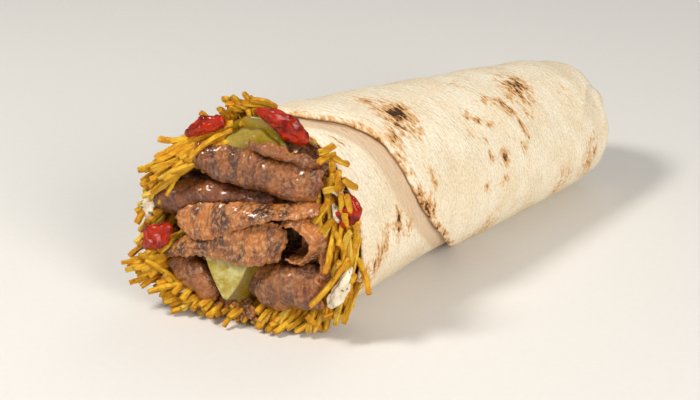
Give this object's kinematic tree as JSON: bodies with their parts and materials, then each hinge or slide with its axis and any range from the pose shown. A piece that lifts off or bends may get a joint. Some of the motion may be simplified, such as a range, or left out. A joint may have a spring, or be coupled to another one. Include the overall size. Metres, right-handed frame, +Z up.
{
  "type": "beef doner durum wrap",
  "caption": "Flatbread rolled round sliced doner beef, crisp potato straws, pickles, ketchup and garlic sauce, open at one end and tucked in at the other.",
  "frame": {"origin": "the middle of the footprint, on the surface that the roll lies on", "axes": "+X along the roll from its open mouth towards its tucked end, +Z up"},
  "size_m": [0.2038, 0.0802, 0.0785],
  "materials": {
    "toasted_flatbread": "dry floury bread with toasted brown blisters",
    "potato_straws": "crisp fried potato",
    "grilled_beef": "grilled meat with a wet glint",
    "pickle": "wet pickle flesh with darker skin",
    "ketchup": "glossy sauce",
    "garlic_sauce": "creamy sauce with green herb flecks"
  },
  "bodies": {
    "root": {"flatbread": "toasted_flatbread", "potato_straws": "potato_straws", "beef_top_roll": "grilled_beef", "beef_side_roll": "grilled_beef", "beef_upper_fold": "grilled_beef", "beef_lower_fold": "grilled_beef", "beef_open_curl": "grilled_beef", "beef_right_fold": "grilled_beef", "beef_top_curl": "grilled_beef", "beef_low_left": "grilled_beef", "beef_low_right": "grilled_beef", "pickle_front": "pickle", "pickle_back": "pickle", "pickle_wedge": "pickle", "ketchup_top_left": "ketchup", "ketchup_top": "ketchup", "ketchup_right": "ketchup", "ketchup_left": "ketchup", "garlic_sauce_right": "garlic_sauce", "garlic_sauce_left": "garlic_sauce"}
  },
  "joints": []
}
